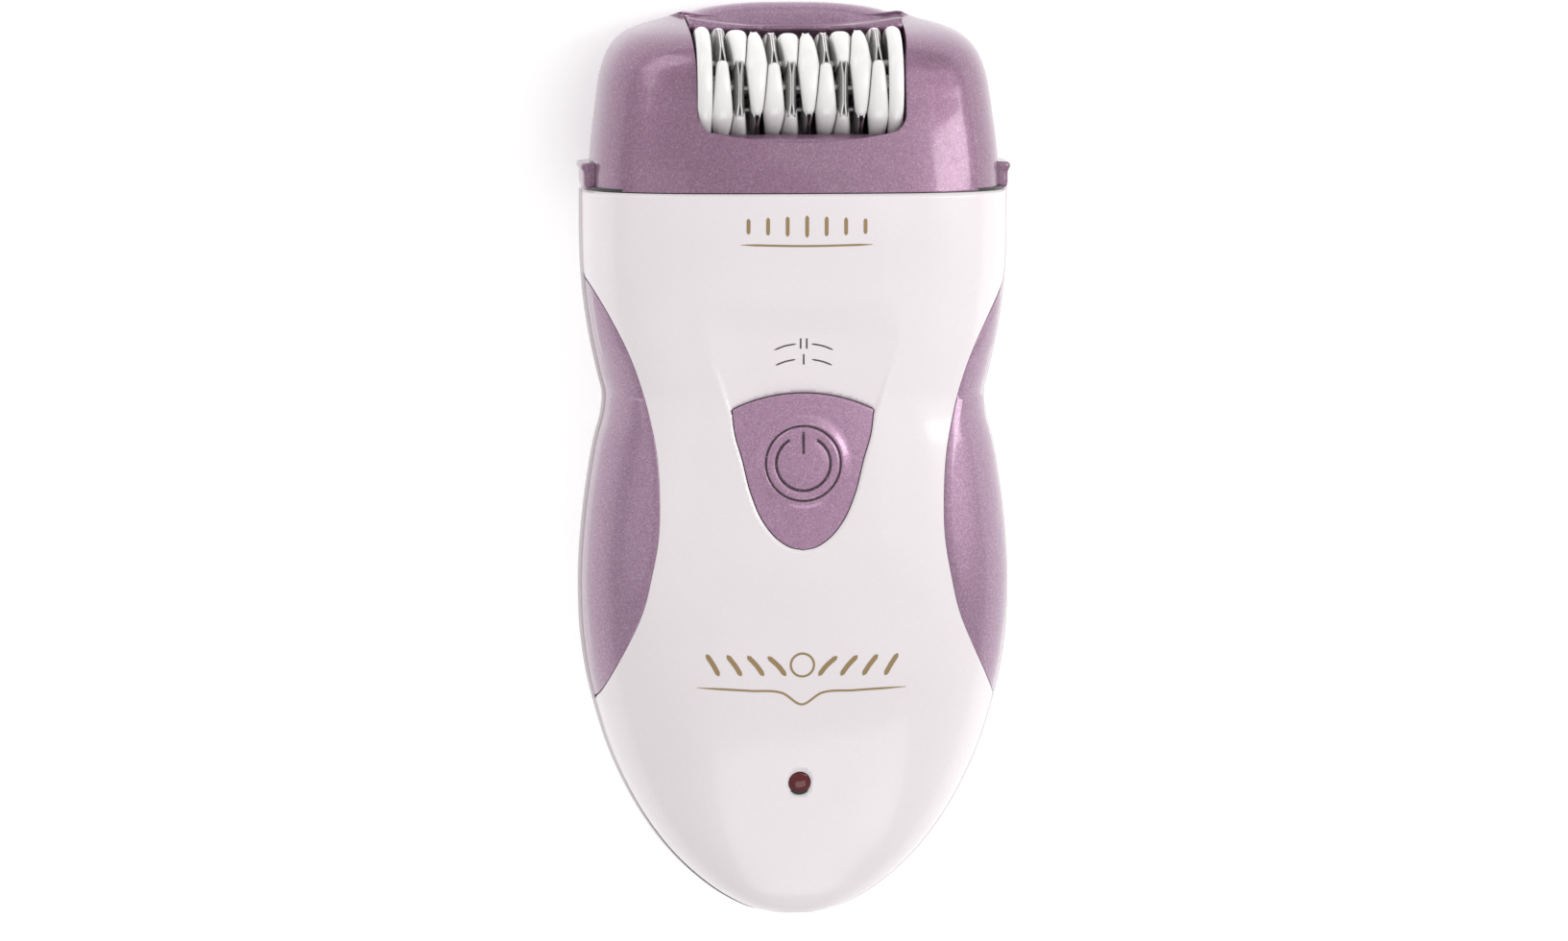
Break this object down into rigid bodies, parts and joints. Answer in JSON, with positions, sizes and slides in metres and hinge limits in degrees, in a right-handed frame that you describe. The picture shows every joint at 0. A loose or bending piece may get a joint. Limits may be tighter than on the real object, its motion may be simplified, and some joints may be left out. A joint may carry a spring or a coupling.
{
  "type": "epilator",
  "caption": "Cordless hand epilator: waisted pearl handle with mauve grips, thumb slider, charge lamp and a lift-off head whose windowed drum carries tweezer discs driven by a gear train.",
  "frame": {"origin": "centre of the overall box in plan, on the flat of the rear housing the part lies on", "axes": "+Z out of the front face with the slider, +Y from the rounded tip to the head, +X to the right of the slider seen from the front"},
  "size_m": [0.0712, 0.15, 0.0374],
  "materials": {
    "pearl_shell": "pearl white gloss with a fine soft sheen",
    "mauve_paint": "mauve metallic lacquer with fine flake",
    "dark_ink": "printed dark lines",
    "gold_ink": "printed gold-brown lines",
    "red_lens": "deep red translucent lens",
    "circuit_green": "solder-resist green",
    "black_part": "moulded black",
    "cell_wrap": "shrink-wrapped cell",
    "inner_plastic": "natural moulded plastic",
    "spring_steel": "plain steel",
    "motor_steel": "plated steel",
    "socket_brass": "bright brass",
    "gear_plastic": "white acetal",
    "tweezer_steel": "polished spring steel",
    "drum_white": "glossy white"
  },
  "bodies": {
    "handle": {"front_housing": "pearl_shell", "rear_housing": "pearl_shell", "left_grip": "mauve_paint", "right_grip": "mauve_paint", "speed_marks": "dark_ink", "upper_trim": "gold_ink", "lower_trim": "gold_ink", "charge_lamp": "red_lens", "circuit_board": "circuit_green", "board_parts": "black_part", "switch_body": "black_part", "right_battery": "cell_wrap", "left_battery": "cell_wrap", "battery_cradle": "inner_plastic", "battery_contacts": "spring_steel", "motor_can": "motor_steel", "motor_end_bell": "inner_plastic", "motor_bracket": "inner_plastic", "gear_plate": "inner_plastic", "gear_axles": "spring_steel", "charge_socket": "black_part", "socket_pin": "socket_brass", "housing_screws": "spring_steel", "neck": "inner_plastic", "right_spring": "spring_steel", "left_spring": "spring_steel"},
    "slider": {"switch_slider": "mauve_paint", "slider_carrier": "inner_plastic", "switch_lever": "black_part"},
    "right_tab": {"right_release": "mauve_paint"},
    "left_tab": {"left_release": "mauve_paint"},
    "rotor": {"motor_shaft": "spring_steel", "armature": "motor_steel", "pinion": "socket_brass"},
    "lower_idler": {"lower_gear": "gear_plastic"},
    "upper_idler": {"upper_gear": "gear_plastic"},
    "head": {"head_casing": "mauve_paint", "drum_bed": "mauve_paint", "head_frame": "inner_plastic", "right_bearing": "gear_plastic", "left_bearing": "gear_plastic", "closing_cams": "gear_plastic"},
    "drum": {"drum_shaft": "spring_steel", "disc_01": "drum_white", "disc_02": "drum_white", "disc_03": "drum_white", "disc_04": "drum_white", "disc_05": "drum_white", "disc_06": "drum_white", "disc_07": "drum_white", "disc_08": "drum_white", "disc_09": "drum_white", "disc_10": "drum_white", "fixed_tweezers": "tweezer_steel", "right_flange": "drum_white", "left_flange": "drum_white", "drum_gear": "gear_plastic"},
    "tweezer_set": {"moving_tweezers": "tweezer_steel", "push_rods": "spring_steel"}
  },
  "joints": [
    {"name": "slider_travel", "type": "slide", "parent": "handle", "child": "slider", "axis": [0, 1, 0], "range_m": [0, 0.0083]},
    {"name": "right_tab_press", "type": "slide", "parent": "handle", "child": "right_tab", "axis": [-1, 0, 0], "range_m": [0, 0.0012], "stiffness_N_per_m": 1500, "springref_m": -0.0008, "deforming": ["right_spring"]},
    {"name": "left_tab_press", "type": "slide", "parent": "handle", "child": "left_tab", "axis": [1, 0, 0], "range_m": [0, 0.0012], "stiffness_N_per_m": 1500, "springref_m": -0.0008, "deforming": ["left_spring"]},
    {"name": "head_lift", "type": "slide", "parent": "handle", "child": "head", "axis": [0, 1, 0], "range_m": [0, 0.035]},
    {"name": "drum_spin", "type": "hinge", "parent": "head", "child": "drum", "pos_m": [0, 0.0619, 0.0255], "axis": [1, 0, 0], "continuous": true},
    {"name": "tweezer_close", "type": "slide", "parent": "drum", "child": "tweezer_set", "axis": [1, 0, 0], "range_m": [-0.0002, 0.0002]},
    {"name": "upper_idler_spin", "type": "hinge", "parent": "handle", "child": "upper_idler", "pos_m": [0.0212, 0.05168, 0.022], "axis": [1, 0, 0], "continuous": true},
    {"name": "lower_idler_spin", "type": "hinge", "parent": "handle", "child": "lower_idler", "pos_m": [0.0212, 0.038, 0.0175], "axis": [1, 0, 0], "continuous": true},
    {"name": "rotor_spin", "type": "hinge", "parent": "handle", "child": "rotor", "pos_m": [0, 0.02739, 0.0155], "axis": [1, 0, 0], "continuous": true}
  ],
  "couplings": [
    {"joint": "upper_idler_spin", "follows": "drum_spin", "ratio": -0.63636},
    {"joint": "lower_idler_spin", "follows": "drum_spin", "ratio": 0.53846},
    {"joint": "rotor_spin", "follows": "drum_spin", "ratio": -1.4}
  ]
}
